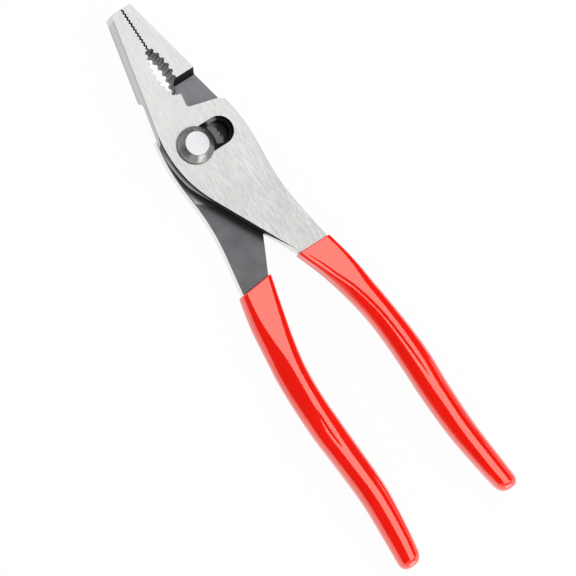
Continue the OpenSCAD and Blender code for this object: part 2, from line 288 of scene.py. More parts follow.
class Sheet:
    """A node tree that is filled one node at a time."""

    def __init__(self, owner):
        owner.use_nodes = True
        self.owner = owner
        self.tree = owner.node_tree
        self.tree.nodes.clear()

    def add(self, kind, settings=None, sockets=None, out=0):
        """Add a node with its settings and its sockets' values or links, and return one output."""
        node = self.tree.nodes.new(kind)
        for key, value in (settings or {}).items():
            setattr(node, key, value)
        for key, value in (sockets or {}).items():
            if isinstance(value, Wire):
                self.tree.links.new(value.socket, node.inputs[key])
            else:
                node.inputs[key].default_value = value
        return Wire(self, node.outputs[out]) if len(node.outputs) else None

    def maths(self, operation, *values):
        """An operation on numbers and wires."""
        return self.add("ShaderNodeMath", {"operation": operation}, dict(enumerate(values)))

    def place(self):
        """Object coordinates."""
        return self.add("ShaderNodeTexCoord", out="Object")

    def axis(self, name, way=None):
        """One coordinate of a vector, by default of the Object coordinates."""
        return self.add("ShaderNodeSeparateXYZ", sockets={0: way or self.place()}, out=name)

    def gap(self, first, second):
        """The distance between two values."""
        return self.maths("ABSOLUTE", first - second)

    def noise(self, waves, detail, rough=0.5, way=None):
        """Noise with a number of waves per unit of each axis, by default per metre of the object."""
        spot = self.add("ShaderNodeMapping", sockets={"Vector": way or self.place(), "Scale": waves})
        return self.add(
            "ShaderNodeTexNoise",
            sockets={"Vector": spot, "Scale": 1.0, "Detail": detail, "Roughness": rough},
        )

    def rise(self, value, start, stop, low=0.0, high=1.0):
        """A smooth step of a value, from low at start to high at stop."""
        return self.add(
            "ShaderNodeMapRange",
            {"interpolation_type": "SMOOTHSTEP"},
            {"Value": value, "From Min": start, "From Max": stop, "To Min": low, "To Max": high},
        )

    def fall(self, value, start, stop, low=0.0):
        """A smooth step of a value, from 1 at start down to low at stop."""
        return self.rise(value, start, stop, 1.0, low)

    def mix(self, share, first, second):
        """A mix of two colours."""
        return self.add(
            "ShaderNodeMix", {"data_type": "RGBA"}, {0: share, 6: first, 7: second}, out=2
        )

    def bump(self, height, depth, strength):
        """A bumped normal with its full height in metres."""
        return self.add(
            "ShaderNodeBump", sockets={"Strength": strength, "Distance": depth, "Height": height}
        )

    def surface(self, sockets):
        """Put a Principled surface on the material's output, and return the material."""
        shader = self.add("ShaderNodeBsdfPrincipled", sockets=sockets)
        self.add("ShaderNodeOutputMaterial", sockets={"Surface": shader})
        return self.owner


def shade(colour, share):
    """A colour scaled by a share, with full alpha."""
    return (*[min(1.0, c * share) for c in colour], 1.0)


def lap_height(s, settings):
    """How far a point lies from the middle of the lap, on either side."""
    return s.gap(s.axis("Z"), settings.mid_z)


def handward(s, settings):
    """How far a point lies from the jaw line, towards the handle of the half on its side of the lap."""
    side = s.maths("SIGN", s.axis("Z") - settings.mid_z)
    return side * (s.axis("Y") - settings.jaw_y)


def ground_steel(settings):
    """Bright steel with short fine brush lines along the tool, over faint pale and dull patches.

    It is duller towards the tangs. The jaws' sides carry painted shade, darker towards the outer face.
    The line where the fine teeth meet is painted dark as the shade in the gap between the jaws: its
    middle is a triangle wave of the place along the nose.
    """
    s = Sheet(bpy.data.materials.new("ground_steel"))
    x = s.axis("X")
    waves = 1.0 / settings.brush
    fine = s.noise((waves * 0.13, waves, waves), 3.0, 0.6)
    coarse = s.noise((waves * 0.06, waves * 0.4, waves * 0.4), 2.0, 0.55)
    patch = s.noise((60.0, 110.0, 110.0), 2.0)
    share = s.rise(fine * 0.6 + coarse * 0.28 + patch * 0.12, 0.37, 0.63)
    bright = s.mix(share, shade(settings.ground, 0.9), shade(settings.ground, 1.08))
    dull = s.mix(share, shade(settings.ground, 0.74), shade(settings.ground, 1.06))
    tangward = s.rise(x, -30.0 * MM, 35.0 * MM)

    tip = settings.tip_x
    face_h = settings.face_z - settings.mid_z
    height = lap_height(s, settings)
    under_face = s.fall(height, face_h - 0.15 * MM, face_h - 0.05 * MM)
    behind_tip = s.rise(x, tip + 1.4 * MM, tip + 2.5 * MM)
    # Painted shade: the jaws' sides darken, most towards the outer face
    side = under_face * behind_tip * s.rise(height, 1.5 * MM, face_h - 0.1 * MM, 0.5, 0.95)
    colour = s.mix(side, s.mix(tangward, bright, dull), shade(settings.ground, 0.62))

    # Painted shade: a dark line along the gap where the fine teeth meet
    half = settings.tooth_w / 2
    swing = s.maths("PINGPONG", x + settings.tooth_x, half) / half
    middle = (swing - 0.5) * settings.tooth_h + settings.jaw_y
    last_tooth = -settings.grip_x - settings.hollow_w
    on_teeth = s.fall(x, last_tooth + 0.05 * MM, last_tooth + 0.45 * MM)
    on_teeth = on_teeth * s.rise(x, tip + 0.3 * MM, tip + 0.6 * MM)
    line = on_teeth * s.fall(s.gap(s.axis("Y"), middle), 0.3 * MM, 0.42 * MM)
    return s.surface({
        "Base Color": s.mix(line, colour, shade(settings.oxide, 1.0)),
        "Metallic": 1.0,
        "Roughness": 0.36 + 0.16 * fine,
        "Normal": s.bump(fine * 0.7 + coarse * 0.3, 0.012 * MM, 0.5),
    })


def milled_steel(settings):
    """Grey milled steel with fine tool marks along the tool.

    Behind the jaws it carries painted shade beyond the jaw line, where the other half shades it, and a
    painted highlight on the outer rim, whose edge is a parabola. The plate seen through the slot
    carries painted shade, deepest near the bolt and at the slot's far end. The pipe grip's notches lie
    beyond the hollow's radius, and carry painted shade just below their lands and at their ends.
    """
    s = Sheet(bpy.data.materials.new("milled_steel"))
    x = s.axis("X")
    y = s.axis("Y")
    marks = s.noise((300.0, 5200.0, 5200.0), 2.0)
    cloud = s.noise((180.0, 180.0, 180.0), 3.0)
    share = s.rise(marks * 0.6 + cloud * 0.4, 0.3, 0.7)
    bare = s.mix(share, shade(settings.lap, 0.86), shade(settings.lap, 1.12))

    out = handward(s, settings)
    # Painted shade on the lap beyond the jaw line, where the other half shades it
    painted_lap_shade = s.rise(out + 2.0 * MM * cloud, 2.0 * MM, 6.0 * MM)
    painted_lap_shade = painted_lap_shade * s.rise(x, settings.hub_x, 2.0 * MM, 0.0, 0.85)
    # Painted highlight on the lap's outer rim
    behind = x + 1.0 * MM
    highlight_edge = 15.0 * MM - behind * 0.08 - behind * behind * 9.8
    rim = s.rise(out - highlight_edge, 1.0 * MM, 3.0 * MM) * s.rise(x, 3.0 * MM, 6.0 * MM)

    # Painted shade on the plate seen through the slot, deepest by the bolt and at the far end
    worn = s.noise((1500.0, 1500.0, 1500.0), 4.0, 0.75)
    past = y - settings.slip
    under_slot = s.fall(x * x + past * past, (4.9 * MM) ** 2, (5.66 * MM) ** 2)
    near_bolt = s.fall((x * x + y * y) ** 0.5, 8.8 * MM, 9.0 * MM)
    far_end = s.rise(y + 6.0 * MM * worn, 13.8 * MM, 14.2 * MM)
    painted_slot_shade = under_slot * s.rise(near_bolt + far_end, 0.0, 1.0, 0.25, 1.0)

    # Painted shade in the pipe grip's notches, below the lands and at their ends
    along = x + settings.grip_x
    beyond = s.gap(y, settings.jaw_y) + settings.hollow_y
    deep = (along * along + beyond * beyond) ** 0.5 - settings.hollow_r
    notch_shade_mask = s.rise(deep, 0.04 * MM, 0.14 * MM) * s.fall(deep, 0.9 * MM, 1.0 * MM)
    notch_shade_mask = notch_shade_mask * s.fall(s.gap(along, 0.0), settings.hollow_w, settings.hollow_w + 0.3 * MM)
    below_land = s.fall(deep, 0.3 * MM, 0.5 * MM, 0.25)
    at_ends = s.rise(lap_height(s, settings), 4.4 * MM, 5.2 * MM)
    dark = painted_lap_shade + painted_slot_shade + notch_shade_mask * (below_land + at_ends)
    colour = s.mix(dark, bare, shade(settings.oxide, 2.0))
    return s.surface({
        "Base Color": s.mix(rim, colour, shade(settings.draft, 0.75)),
        "Metallic": 0.75,
        "Roughness": 0.46 + 0.12 * marks,
        "Normal": s.bump(marks, 0.012 * MM, 0.4),
    })


def forged_steel(settings):
    """Dull grey steel with a fine even grain, and a dark painted shadow of the other half inward of a
    slanted line near the hub.
    """
    s = Sheet(bpy.data.materials.new("forged_steel"))
    grain = s.noise((4200.0, 4200.0, 4200.0), 2.0, 0.6)
    cloud = s.noise((160.0, 160.0, 160.0), 3.0)
    share = s.rise(grain * 0.5 + cloud * 0.5, 0.3, 0.7)
    colour = s.mix(share, shade(settings.tang, 0.8), shade(settings.tang, 1.2))
    # Painted shadow of the other half on the tang, inward of a slanted line
    slant = math.radians(27.9)
    back = s.axis("X") - 15.0 * MM
    inward = (12.4 * MM - handward(s, settings)) * math.cos(slant) - back * math.sin(slant)
    scale = s.rise(inward + 1.2 * MM * (cloud - 0.5), -2.6 * MM, -0.2 * MM, 0.0, 0.9)
    return s.surface({
        "Base Color": s.mix(scale, colour, shade(settings.oxide, 1.5)),
        "Metallic": 0.6,
        "Roughness": 0.54 + 0.14 * grain,
        "Normal": s.bump(grain, 0.02 * MM, 0.5),
    })


def black_oxide(name, settings):
    """Near-black oxide with a faint forged skin, and a painted glint on the ledge beside the slot's far
    place.
    """
    s = Sheet(bpy.data.materials.new(name))
    x = s.axis("X")
    skin = s.noise((900.0, 900.0, 900.0), 4.0, 0.6)
    grain = s.noise((5000.0, 5000.0, 5000.0), 2.0)
    share = s.rise(skin * 0.6 + grain * 0.4, 0.3, 0.7)
    colour = s.mix(share, shade(settings.oxide, 0.75), shade(settings.oxide, 1.4))
    # Painted glint on the ledge beside the slot's far place
    ledge = s.rise(x, -5.6 * MM, -5.2 * MM) * s.fall(x, -4.0 * MM, -3.4 * MM)
    painted_glint = ledge * s.fall(s.gap(s.axis("Y"), settings.slip), 1.0 * MM, 2.2 * MM)
    return s.surface({
        "Base Color": s.mix(painted_glint, colour, shade(settings.lap, 1.0)),
        "Roughness": 0.42 + 0.16 * skin,
        "Specular IOR Level": 0.1,
        "Normal": s.bump(skin, 0.03 * MM, 0.35),
    })


def polished_steel(settings):
    """Polished steel with faint streaks along the tool, and painted shade in black along the lap behind
    the jaws.
    """
    s = Sheet(bpy.data.materials.new("polished_steel"))
    streak = s.noise((120.0, 900.0, 900.0), 3.0)
    fine = s.noise((400.0, 4200.0, 4200.0), 2.0)
    share = s.rise(streak * 0.6 + fine * 0.4, 0.3, 0.7)
    colour = s.mix(share, shade(settings.polish, 0.95), shade(settings.polish, 1.04))
    # Painted shade: black and not metallic near the lap behind the jaws
    behind_jaws = s.rise(s.axis("X"), settings.hub_x, settings.hub_x + 2.0 * MM)
    black = behind_jaws * s.fall(lap_height(s, settings), 1.0 * MM, 1.8 * MM)
    return s.surface({
        "Base Color": s.mix(black, colour, shade(settings.oxide, 1.5)),
        "Metallic": 1.0 - black,
        "Specular IOR Level": 0.1,
        "Roughness": 0.2 + 0.14 * streak,
        "Normal": s.bump(streak, 0.01 * MM, 0.3),
    })


def drafted_steel(settings):
    """Drafted sides in painted shade and light: black under the outer faces' edges, lighter towards the
    lap, pale at both ends.

    The way down is 0 at an outer face and 1 at the lap. The lighter share, painted light against the
    painted black shade, is a power of it, over a stretch that shrinks towards the face and fades on the
    way from the hub to the tang. A painted highlight lies halfway down ahead of the hub.
    """
    s = Sheet(bpy.data.materials.new("drafted_steel"))
    x = s.axis("X")
    streak = s.noise((140.0, 140.0, 1600.0), 3.0)
    height = lap_height(s, settings) + 0.6 * MM * (streak - 0.5)
    # Painted shade and light: black near the outer face, lighter towards the lap
    down = 1.0 - height / (settings.face_z - settings.mid_z)
    share = down / s.rise(x, 7.0 * MM, 21.0 * MM, 1.0, 0.38)
    bare = share ** 2.2 * s.fall(share, 1.0, 1.15)
    bare = bare * s.rise(x, 8.0 * MM, 21.0 * MM, 0.9, 0.06)
    bare = bare * s.rise(x, -6.0 * MM, 3.0 * MM, 0.25, 1.0)
    # Painted highlight halfway down the side, ahead of the hub
    ahead = down * (1.0 - down) * s.rise(x, -1.0 * MM, 3.0 * MM, 0.5, 0.0)
    colour = s.mix(bare + ahead, shade(settings.oxide, 1.6), shade(settings.draft, 1.0))
    by_jaws = s.fall(x + 6.0 * MM * s.gap(down, 0.5), -7.5 * MM, -5.5 * MM)
    foot = s.rise(x, 34.0 * MM, 49.0 * MM, 2.2 * MM, 5.6 * MM)
    by_grip = s.fall(height - foot, -0.3 * MM, 0.1 * MM) * s.rise(x, 36.8 * MM, 37.6 * MM)
    pale = by_jaws + by_grip
    return s.surface({
        "Base Color": s.mix(pale, colour, shade(settings.polish, 1.0)),
        "Metallic": 0.9 * pale,
        "Roughness": 0.3 + 0.12 * streak,
        "Specular IOR Level": 0.0,
        "Normal": s.bump(streak, 0.01 * MM, 0.3),
    })


def turned_steel(name, colour, rough, vary):
    """Turned steel with rings about the pivot's axis that fade in and out along the way round.

    The rings are a sine of the distance from the axis, in radians per metre.
    """
    s = Sheet(bpy.data.materials.new(name))
    x = s.axis("X")
    y = s.axis("Y")
    reach = (x * x + y * y) ** 0.5
    ring_rate = 34000.0
    rings = s.maths("SINE", reach * ring_rate) * 0.5 + 0.5
    patch = s.noise((420.0, 420.0, 420.0), 3.0)
    way = s.add("ShaderNodeCombineXYZ", sockets={0: x / reach, 1: y / reach, 2: reach * 60.0})
    sweep = s.noise((5.0, 5.0, 5.0), 4.0, 0.65, way)
    share = s.rise(rings * 0.2 + patch * 0.3 + sweep * 0.5, 0.3, 0.7)
    return s.surface({
        "Base Color": s.mix(share, shade(colour, 1.0 - vary), shade(colour, 1.0 + vary)),
        "Metallic": 0.9,
        "Roughness": rough + 0.1 * patch,
        "Normal": s.bump(rings * patch, 0.012 * MM, 0.4),
    })


def red_dip(settings):
    """Glossy dipped plastic: deep red, with long shallow ripples and faint clouds.

    A clear coat that shows only at grazing angles makes the palm's edges pale.
    """
    s = Sheet(bpy.data.materials.new("red_dip"))
    ripple = s.noise((18.0, 60.0, 60.0), 2.0)
    cloud = s.noise((45.0, 90.0, 90.0), 3.0)
    share = s.rise(cloud, 0.3, 0.7)
    grazing = s.add("ShaderNodeLayerWeight", sockets={"Blend": 0.5}, out="Facing")
    palm = s.rise(s.axis("X"), 60.0 * MM, 90.0 * MM)
    return s.surface({
        "Base Color": s.mix(share, shade(settings.red, 0.95), shade(settings.red, 1.05)),
        "Roughness": 0.07 + 0.03 * cloud,
        "IOR": 2.2,
        "Specular Tint": (1.0, 1.0, 0.84, 1.0),
        "Normal": s.bump(ripple, 0.05 * MM, 0.2),
        "Coat Weight": grazing ** 2.0 * palm,
        "Coat IOR": 4.0,
        "Coat Roughness": 0.08,
    })


def floor_sheet(settings):
    """Matt pale floor that the camera and mirror-like surfaces see as nearly white.

    Mirrors see it darker ahead of the nose and beyond the front handle.
    """
    s = Sheet(bpy.data.materials.new("floor"))
    grain = s.noise((500.0, 500.0, 500.0), 3.0)
    colour = s.mix(grain, shade(settings.floor, 0.99), shade(settings.floor, 1.01))
    matt = s.add("ShaderNodeBsdfDiffuse", sockets={"Color": colour})
    glow = s.add("ShaderNodeEmission", sockets={"Color": WHITE, "Strength": 1.0})
    seen = s.add("ShaderNodeLightPath", out="Is Camera Ray")
    mirrored = s.add("ShaderNodeLightPath", out="Is Glossy Ray")
    behind_nose = s.rise(s.axis("X"), -130.0 * MM, -30.0 * MM, 0.3, 1.0)
    near_handle = s.fall(s.axis("Y"), 30.0 * MM, 70.0 * MM, 0.25)
    share = seen * 0.96 + mirrored * behind_nose * near_handle * 0.98
    both = s.add("ShaderNodeMixShader", sockets={0: share, 1: matt, 2: glow})
    s.add("ShaderNodeOutputMaterial", sockets={"Surface": both})
    return s.owner


def piece_of(name, mesh, body, *nodes):
    """Put a mesh in the scene as a piece that rides a body and stands for CAD nodes."""
    piece = bpy.data.objects.new(name, mesh)
    bpy.context.scene.collection.objects.link(piece)
    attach(piece, body)
    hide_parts(*nodes)
    return piece


def grid_mesh(name, points):
    """Closed mesh over a grid of points: rows run along the piece, columns round it.

    Row i and column j are joined to row i + 1 and column j + 1, columns wrap round, and rows whose
    points coincide close into one pole.
    """
    rows, columns = points.shape[:2]
    index = np.arange(rows * columns).reshape(rows, columns)
    turned = np.roll(index, -1, axis=1)
    quads = np.stack([index[:-1], turned[:-1], turned[1:], index[1:]], axis=-1).reshape(-1, 4)
    mesh = bpy.data.meshes.new(name)
    mesh.from_pydata(points.reshape(-1, 3), [], quads)
    work = bmesh.new()
    work.from_mesh(mesh)
    bmesh.ops.remove_doubles(work, verts=work.verts, dist=GRID_MERGE)
    bmesh.ops.recalc_face_normals(work, faces=work.faces)
    work.to_mesh(mesh)
    work.free()
    mesh.shade_smooth()
    return mesh


def polygon_data(mesh):
    """Normals and centres of a mesh's polygons as arrays."""
    count = len(mesh.polygons)
    normals = np.empty(count * 3, dtype=np.float32)
    centres = np.empty(count * 3, dtype=np.float32)
    mesh.polygons.foreach_get("normal", normals)
    mesh.polygons.foreach_get("center", centres)
    return normals.reshape(-1, 3), centres.reshape(-1, 3)


def half_finish(normals, centres, flat, side, settings):
    """The finish of each face of a forged half, by where it lies and which way it looks.

    The first test in the list that a face meets gives its finish. A flat face that meets none lies in
    the lap and is milled.
    """
    tip_depth = 1.2 * MM
    tooth_line = 0.6 * MM
    bite = 4.2 * MM
    side_start = 2.0 * MM
    step_x = -18.0 * MM
    ramp_x = 12.0 * MM
    ledge_h = 1.0 * MM
    half_slot = settings.slot_w / 2 + 0.3 * MM
    first_notch = settings.hollow_w - settings.grip_x + 0.05 * MM
    place, across, level = centres.T
    outward = normals[:, 1] * -side
    away = (settings.jaw_y - across) * side
    height = np.abs(level - settings.mid_z)
    face_gap = np.minimum(np.abs(level - settings.face_z), np.abs(level - settings.back_z))
    slot_gap = np.abs(across - settings.slip / 2) - settings.slip / 2

    outer = flat & (face_gap < 0.2 * MM)
    tang = flat & (np.abs(height - settings.tang_h) < 0.1 * MM)
    ledge = flat & ~outer & (height > ledge_h)
    steep = ~flat
    slot = (np.abs(place) < half_slot) & (slot_gap < half_slot)
    step = (normals[:, 0] > 0.3) & (np.abs(normals[:, 2]) > 0.1) & (place < step_x)
    ramp = (height < settings.tang_h) & (place > ramp_x)
    tip = (place < settings.tip_x + tip_depth) & (np.abs(away) > tooth_line)
    teeth = (place < first_notch) & (away < bite) & ~tip
    hollow = np.abs(place + settings.grip_x) < settings.hollow_w
    drafted = (outward > 0.3) & (place > settings.hub_x)
    jaw_side = (outward > 0.9) & (place < settings.hub_x) & (away > side_start)
    tests = [
        (ledge | steep & (slot | step), BLACK),
        (steep & ramp, FORGED),
        (steep & teeth & hollow, MILLED),
        # Painted shade: the fine teeth's walls are black to darken the gap between the jaws
        (steep & teeth, BLACK),
        (steep & drafted, DRAFTED),
        (steep & (jaw_side | tip), GROUND),
        (steep, POLISHED),
        (outer, GROUND),
        (tang, FORGED),
    ]
    met, finish = zip(*tests)
    return np.select(met, finish, default=MILLED).astype(np.int32)


def steel_half(node, body, side, settings, materials):
    """A merged copy of a forged half with broken edges and a finish on each kind of face.

    side is 1 for the half whose jaw lies below the jaw line and -1 for the other one.
    """
    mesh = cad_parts[node].data.copy()
    mesh.name = node + "_steel"
    work = bmesh.new()
    work.from_mesh(mesh)
    bmesh.ops.remove_doubles(work, verts=work.verts, dist=NODE_MERGE)
    bmesh.ops.dissolve_limit(
        work, angle_limit=math.radians(0.4), verts=work.verts, edges=work.edges, delimit={"NORMAL"}
    )
    bmesh.ops.recalc_face_normals(work, faces=work.faces)
    corner = math.radians(40.0)
    broken = [float(edge.is_convex and edge.calc_face_angle(0.0) > corner) for edge in work.edges]
    work.to_mesh(mesh)
    work.free()
    mesh.attributes.new("bevel_weight_edge", "FLOAT", "EDGE").data.foreach_set("value", broken)
    mesh.shade_smooth()
    mesh.set_sharp_from_angle(angle=math.radians(28.0))
    normals, centres = polygon_data(mesh)
    flat = np.abs(normals[:, 2]) > 0.98
    mesh.polygons.foreach_set("use_smooth", ~flat)
    mesh.materials.clear()
    for material in materials:
        mesh.materials.append(material)
    finish = half_finish(normals, centres, flat, side, settings)
    mesh.polygons.foreach_set("material_index", finish)
    piece = piece_of(node + "_steel", mesh, body, node)
    edges = piece.modifiers.new("edges", "BEVEL")
    edges.width = settings.edge
    edges.segments = 2
    edges.limit_method = "WEIGHT"
    edges.miter_outer = "MITER_ARC"
    edges.harden_normals = True


def fillet(corners, radius, steps=4):
    """Points of a polyline with each inner corner rounded by a quadratic curve.

    Each corner is cut back by the radius along both sides, at most 0.45 of a side, and joined by a
    parabola whose control point is the corner.
    """
    p = np.array(corners, dtype=float)
    back = p[:-2] - p[1:-1]
    ahead = p[2:] - p[1:-1]
    size_back = np.linalg.norm(back, axis=1, keepdims=True)
    size_ahead = np.linalg.norm(ahead, axis=1, keepdims=True)
    reach = np.minimum(radius, 0.45 * np.minimum(size_back, size_ahead))
    start = p[1:-1] + back / size_back * reach
    stop = p[1:-1] + ahead / size_ahead * reach
    u = np.linspace(0.0, 1.0, steps + 1)[None, :, None]
    arcs = start[:, None] * (1 - u) ** 2 + 2 * p[1:-1, None] * u * (1 - u) + stop[:, None] * u ** 2
    return np.vstack([p[:1], arcs.reshape(-1, 2), p[-1:]])


def bolt_points(settings, columns=192, thread_rows=42):
    """Bolt as a grid of stations along its profile and angles about its axis.

    The radius at a station is the profile's, cut back to half the flats' width over |cos(angle)|
    where the profile passes the slot's neck, and lowered by a triangle wave of height minus turn
    times pitch on the thread, whose depth grows over its first pitch.
    """
    s = settings
    low = s.seat_z - s.collar_h
    chamfer = 0.45 * s.pitch
    thread_depth = 0.5 * s.pitch
    head = fillet([
        [0.0, s.seat_z + s.head_h],
        [s.top_d / 2, s.seat_z + s.head_h],
        [s.head_d / 2, s.seat_z + s.rim_h],
        [s.head_d / 2, s.seat_z],
        [s.collar_d / 2, s.seat_z],
        [s.collar_d / 2, low],
        [s.bolt_d / 2, low],
    ], s.round_r)
    neck = [[s.bolt_d / 2, low], [s.bolt_d / 2, s.lap_z]]
    journal = [[s.bolt_d / 2, s.lap_z], [s.bolt_d / 2, s.nut_h], [s.thread_d / 2, s.nut_h]]
    thread = np.linspace([s.thread_d / 2, s.nut_h], [s.thread_d / 2, chamfer], thread_rows)
    end = [[s.thread_d / 2 - chamfer, 0.0], [0.0, 0.0]]
    parts = [(head, ROUND), (neck, FLATTED), (journal, ROUND), (thread, THREADED), (end, ROUND)]
    profile = np.vstack([points for points, form in parts])
    forms = np.concatenate([np.full(len(points), form) for points, form in parts])[:, None]
    angle = np.linspace(0.0, 2 * np.pi, columns, endpoint=False)[None, :]
    radius = np.repeat(profile[:, :1], columns, axis=1)
    cut = s.flats_w / 2 / np.maximum(np.abs(np.cos(angle)), TINY)
    radius = np.where(forms == FLATTED, np.minimum(radius, cut), radius)
    turn = (profile[:, 1:] / s.pitch - angle / (2 * np.pi)) % 1.0
    grown = np.clip((s.nut_h - profile[:, 1:]) / s.pitch, 0.0, 1.0)
    groove = np.abs(2.0 * turn - 1.0) * thread_depth * grown
    radius = np.where(forms == THREADED, radius - groove, radius)
    height = np.repeat(profile[:, 1:], columns, axis=1)
    return np.stack([radius * np.cos(angle), radius * np.sin(angle), height], axis=-1)


def nut_points(settings, columns=240, rows=23):
    """Nut as a grid of stations round its section and angles about its axis.

    Outside, the radius is the smaller of the hexagon's half width over cos(angle from the nearest
    flat) and a cone that leaves each end face at 30 degrees, a little inside the flats. Inside it is
    the bore with a countersink at both ends.
    """
    s = settings
    angle = np.linspace(0.0, 2 * np.pi, columns, endpoint=False)
    apart = (angle - np.pi / 6) % (np.pi / 3) - np.pi / 6
    hexagon = s.nut_w / 2 / np.cos(apart)
    rise = np.linspace(0.0, s.nut_h, rows)
    depth = np.minimum(rise, s.nut_h - rise)
    cone = 0.985 * s.nut_w / 2 + depth / math.tan(math.radians(30.0))
    outer = np.minimum(hexagon[None, :], cone[:, None])
    bore = s.bore_d / 2
    inner_r = np.array([bore + s.sink, bore, bore, bore + s.sink])
    inner_z = np.array([s.nut_h, s.nut_h - s.sink, s.sink, 0.0])
    inner = np.repeat(inner_r[:, None], columns, axis=1)
    radius = np.vstack([outer, inner, outer[:1]])
    height = np.concatenate([rise, inner_z, rise[:1]])
    height = np.repeat(height[:, None], columns, axis=1)
    return np.stack([radius * np.cos(angle), radius * np.sin(angle), height], axis=-1)


def curve(table, share):
    """Values of a table's columns at shares of the way, as cubic pieces through its rows.

    Each piece is a cubic Hermite curve whose slopes at its ends are those of the chord between the
    rows on either side.
    """
    way = table[:, 0]
    last = len(way) - 1
    before = np.maximum(np.arange(last + 1) - 1, 0)
    after = np.minimum(np.arange(last + 1) + 1, last)
    slope = (table[after, 1:] - table[before, 1:]) / (way[after] - way[before])[:, None]
    i = np.clip(np.searchsorted(way, share, side="right") - 1, 0, last - 1)
    step = (way[i + 1] - way[i])[:, None]
    u = (share - way[i])[:, None] / step
    return (
        table[i, 1:] * (1 + 2 * u) * (1 - u) ** 2
        + step * slope[i] * u * (1 - u) ** 2
        + table[i + 1, 1:] * u ** 2 * (3 - 2 * u)
        + step * slope[i + 1] * u ** 2 * (u - 1)
    )


def grip_stations(span, settings):
    """Place along the grip, inset from its outside and scale of the section at each station.

    The stations run from the inner wall's end out to the mouth, round its lip and along the outside
    to the rounded end, whose sections shrink by a power of cos as they advance by that power of sin.
    """
    s = settings
    bend = span - s.end
    straight = np.linspace(0.0, bend, 150)
    quarter = np.linspace(0.0, np.pi / 2, 17)[1:]

    def wall(inset):
        tip = bend + (span - inset - bend) * np.sin(quarter) ** s.blunt
        place = np.concatenate([straight, tip])
        scale = np.concatenate([np.ones_like(straight), np.abs(np.cos(quarter)) ** s.blunt])
        return place, np.full_like(place, inset), scale

    inner = [part[::-1] for part in wall(s.wall)]
    outer = wall(0.0)
    past_lip = outer[0] > s.lip
    turn = np.linspace(0.0, np.pi / 2, 7)
    lip = [s.lip * (1 - np.cos(turn)), s.lip * (1 - np.sin(turn)), np.ones_like(turn)]
    return [np.concatenate([a, b, c[past_lip]]) for a, b, c in zip(inner, lip, outer)]


def grip_points(line, crown, mouth, reach, lean, side, settings, columns=192):
    """Grip as a grid of stations along the handle and angles round it.

    Each section is a superellipse: at an angle, the distance from its middle is the sum of |cos over
    half the width|^n and |sin over half the thickness|^n, to the power -1/n. Width, thickness, middle
    and n follow smooth curves of the way along. Outside, the upper side has its own n, its points
    shift across with the power 1.5 of their height, and a smooth step lowers it on the near side of
    the crease. The mouth's lean fades out over the first quarter of the grip.
    """
    s = settings
    span = reach - mouth
    place, inset, scale = grip_stations(span, s)
    share = place / span
    middle, width = curve(line, share).T
    thick, rise, core = curve(SECTIONS, share).T
    square, shift, crease, depth = curve(crown, share).T
    half_w = ((width * MM + s.palm_w) / 2 - inset) * scale
    half_t = ((thick * MM + s.palm_t) / 2 - inset) * scale
    least_w = np.maximum(half_w, TINY)[:, None]
    least_t = np.maximum(half_t, TINY)[:, None]
    angle = (np.arange(columns) + 0.5) / columns * 2 * np.pi
    upper = (1.0 - inset / s.wall)[:, None] * (np.sin(angle) * side > 0.0)
    n = core[:, None] + (square - core)[:, None] * upper
    wide = np.abs(np.cos(angle) / least_w) ** n
    high = np.abs(np.sin(angle) / least_t) ** n
    distance = (wide + high) ** (-1.0 / n)
    across = distance * np.cos(angle)
    up = distance * np.sin(angle)
    level = np.abs(up) / least_t
    past = np.clip((across * side - (crease * half_w)[:, None]) / s.crease + 0.5, 0.0, 1.0)
    low = upper * (1.0 - past ** 2 * (3.0 - 2.0 * past))
    up = up * (1.0 - low * (depth * MM * scale)[:, None] / least_t)
    across = across + side * upper * (shift * half_w)[:, None] * level ** 1.5
    tilt = -math.tan(lean) * np.maximum(0.0, 1.0 - share / 0.25)
    x = mouth + place[:, None] + tilt[:, None] * across
    y = middle[:, None] * MM + across
    z = (rise * s.tang)[:, None] + up
    return np.stack([x, y, z], axis=-1)


class PLIERS_OT_halves(bpy.types.Operator):
    """Build the two forged halves with ground, milled, forged and blackened faces"""

    bl_idname = "pliers.halves"
    bl_label = "Forged halves"

    def execute(self, context):
        settings = context.scene.pliers_steel
        materials = [
            ground_steel(settings),
            milled_steel(settings),
            forged_steel(settings),
            black_oxide("black_oxide", settings),
            polished_steel(settings),
            drafted_steel(settings),
        ]
        steel_half("front_half", "front", 1, settings, materials)
        steel_half("rear_half", "rear", -1, settings, materials)
        return {"FINISHED"}


class PLIERS_OT_pivot(bpy.types.Operator):
    """Build the pivot bolt and its nut"""

    bl_idname = "pliers.pivot"
    bl_label = "Pivot"

    def execute(self, context):
        settings = context.scene.pliers_pivot
        steel = turned_steel("bolt_steel", settings.steel, rough=0.2, vary=0.3)
        top = turned_steel("bolt_top", settings.top, rough=0.3, vary=0.1)
        mesh = grid_mesh("pivot_bolt_turned", bolt_points(settings))
        for material in (steel, top, black_oxide("bolt_rim", context.scene.pliers_steel)):
            mesh.materials.append(material)
        seat = settings.seat_z
        height = polygon_data(mesh)[1][:, 2]
        on_top = height > seat + settings.head_h - 0.02 * MM
        # Painted shade: the rim under the head and the collar get black oxide
        on_rim = (height < seat + settings.rim_h) & (height > seat - settings.collar_h)
        finish = np.select([on_top, on_rim], [BRIGHT, RIM], default=TURNED).astype(np.int32)
        mesh.polygons.foreach_set("material_index", finish)
        mesh.set_sharp_from_angle(angle=math.radians(35.0))
        piece_of("pivot_bolt_turned", mesh, "pivot", "pivot_bolt")
        mesh = grid_mesh("pivot_nut_hexagon", nut_points(settings))
        mesh.materials.append(steel)
        mesh.set_sharp_from_angle(angle=math.radians(24.0))
        piece_of("pivot_nut_hexagon", mesh, "pivot", "pivot_nut")
        return {"FINISHED"}


